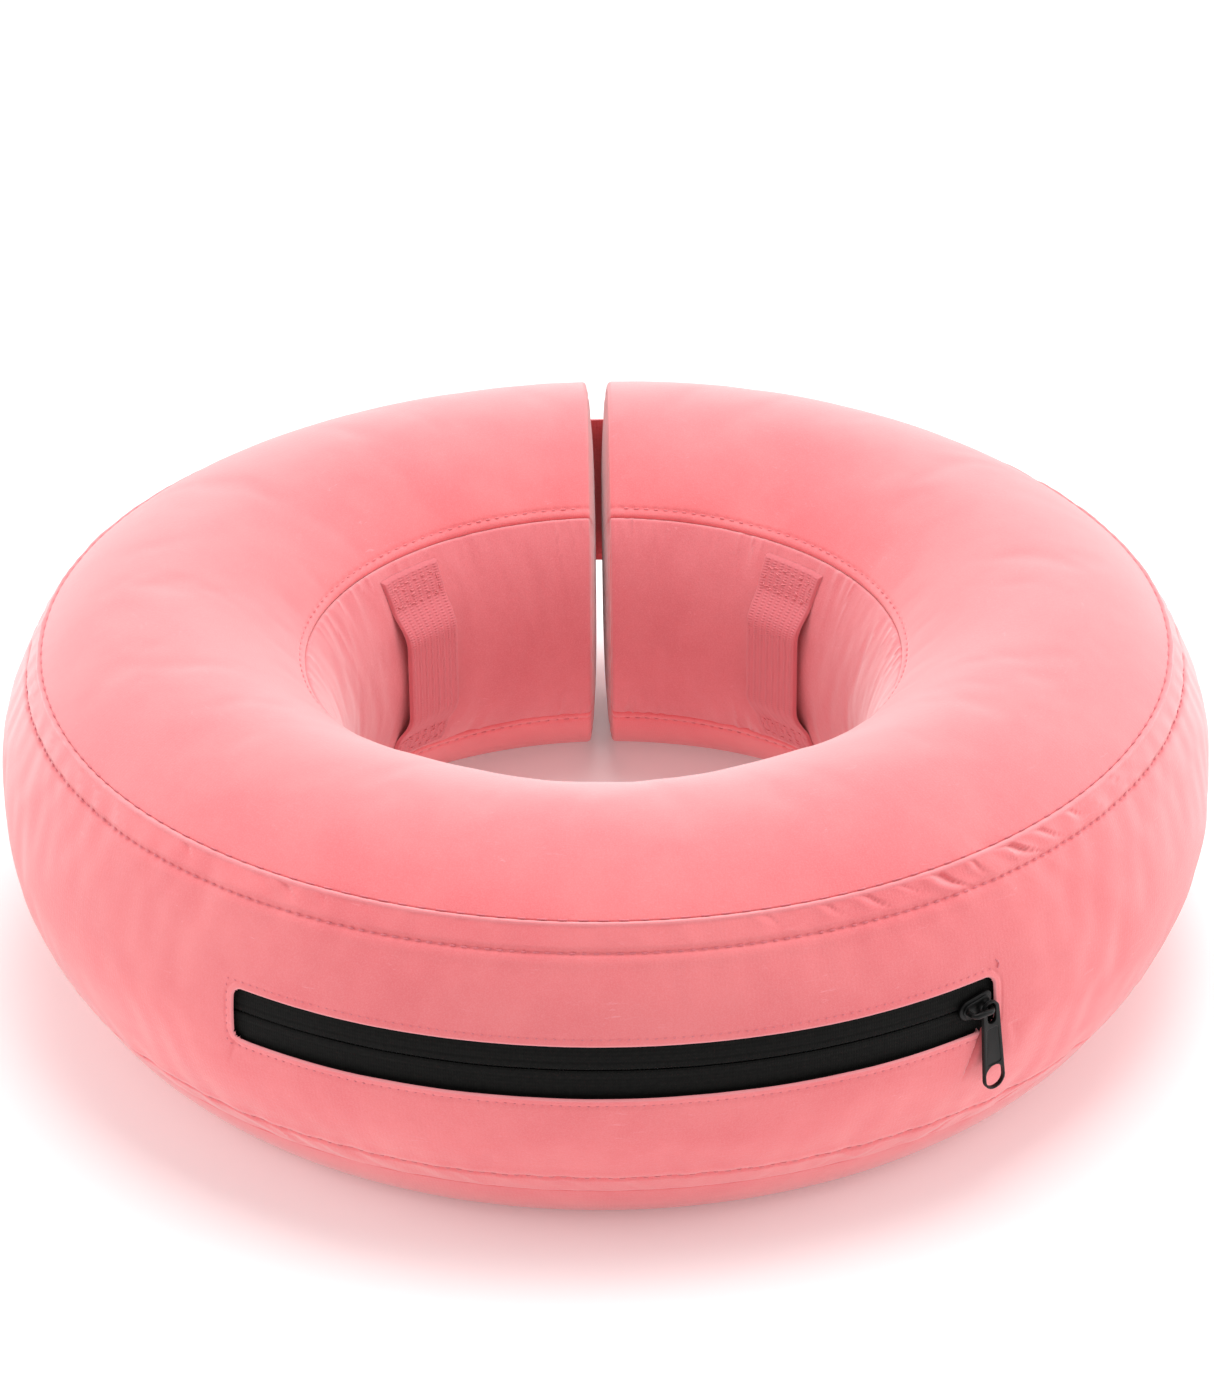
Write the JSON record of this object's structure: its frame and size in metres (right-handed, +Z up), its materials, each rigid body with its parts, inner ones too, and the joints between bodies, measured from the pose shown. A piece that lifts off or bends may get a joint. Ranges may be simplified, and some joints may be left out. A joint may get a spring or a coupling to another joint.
{
  "type": "inflatable ring collar",
  "caption": "Soft inflatable ring worn round a dog's neck in place of a cone: zip-off cloth cover over an air bladder, split at the back under a hook-and-loop strap.",
  "frame": {"origin": "centre of the ring, on the neck axis at mid height", "axes": "+Z up along the neck axis, -Y to the front where the zip is, +Y to the back opening, +X to the wearer's left"},
  "size_m": [0.35, 0.353, 0.116],
  "materials": {
    "cover_fabric": "brushed microfibre, coral pink",
    "lining_fabric": "brushed microfibre, coral pink",
    "webbing": "woven tape, pink",
    "hook_and_loop": "hook and loop pile, pink",
    "bladder_vinyl": "flexible vinyl film",
    "valve_plastic": "soft clear vinyl",
    "zip_tape": "black woven tape",
    "zip_coil": "black nylon coil",
    "zip_metal": "black gloss enamel"
  },
  "bodies": {
    "front_section": {"top_panel_front": "cover_fabric", "side_band_front": "cover_fabric", "bottom_panel_front": "cover_fabric", "neck_lining_front": "lining_fabric", "bladder_front": "bladder_vinyl", "valve_body": "valve_plastic", "zip_tape_upper": "zip_tape", "zip_tape_lower": "zip_tape", "zip_coil_upper": "zip_coil", "zip_coil_lower": "zip_coil", "zip_top_stop": "zip_metal", "zip_bottom_stop": "zip_metal", "collar_loop_front_left": "webbing", "collar_loop_front_right": "webbing"},
    "left_arm": {"top_panel_left": "cover_fabric", "side_band_left": "cover_fabric", "bottom_panel_left": "cover_fabric", "neck_lining_left": "lining_fabric", "bladder_left": "bladder_vinyl", "end_panel_left": "cover_fabric", "collar_loop_back_left": "webbing", "strap_anchor": "webbing"},
    "right_arm": {"top_panel_right": "cover_fabric", "side_band_right": "cover_fabric", "bottom_panel_right": "cover_fabric", "neck_lining_right": "lining_fabric", "bladder_right": "bladder_vinyl", "end_panel_right": "cover_fabric", "collar_loop_back_right": "webbing", "loop_patch": "hook_and_loop"},
    "closure_strap": {"closure_strap": "webbing", "hook_patch": "hook_and_loop"},
    "zip_slider": {"zip_slider": "zip_metal"},
    "pull_tab": {"pull_tab": "zip_metal"},
    "valve_plug": {"valve_plug": "valve_plastic"},
    "valve_flap": {"valve_flap": "valve_plastic"}
  },
  "joints": [
    {"name": "left_arm_flex", "type": "hinge", "parent": "front_section", "child": "left_arm", "pos_m": [-0.125, 0, 0], "axis": [0, 0, 1], "range_deg": [0, 30]},
    {"name": "right_arm_flex", "type": "hinge", "parent": "front_section", "child": "right_arm", "pos_m": [0.125, 0, 0], "axis": [0, 0, -1], "range_deg": [0, 30]},
    {"name": "strap_peel", "type": "hinge", "parent": "left_arm", "child": "closure_strap", "pos_m": [-0.02167, 0.17652, 0], "axis": [0, 0, 1], "range_deg": [0, 100]},
    {"name": "zip_travel", "type": "hinge", "parent": "front_section", "child": "zip_slider", "pos_m": [0, 0, 0.004], "axis": [0, 0, -1], "range_deg": [0, 66.4]},
    {"name": "pull_tab_swing", "type": "hinge", "parent": "zip_slider", "child": "pull_tab", "pos_m": [0.09905, -0.14552, 0.004], "axis": [0.5476, -0.8368, 0], "range_deg": [-48, 115]},
    {"name": "valve_plug_open", "type": "hinge", "parent": "front_section", "child": "valve_plug", "pos_m": [0, -0.151, 0.0065], "axis": [-1, 0, 0], "range_deg": [0, 90]},
    {"name": "valve_flap_open", "type": "hinge", "parent": "front_section", "child": "valve_flap", "pos_m": [0, -0.1394, 0.0046], "axis": [1, 0, 0], "range_deg": [0, 60]}
  ],
  "couplings": [
    {"joint": "right_arm_flex", "follows": "left_arm_flex", "ratio": 1}
  ]
}
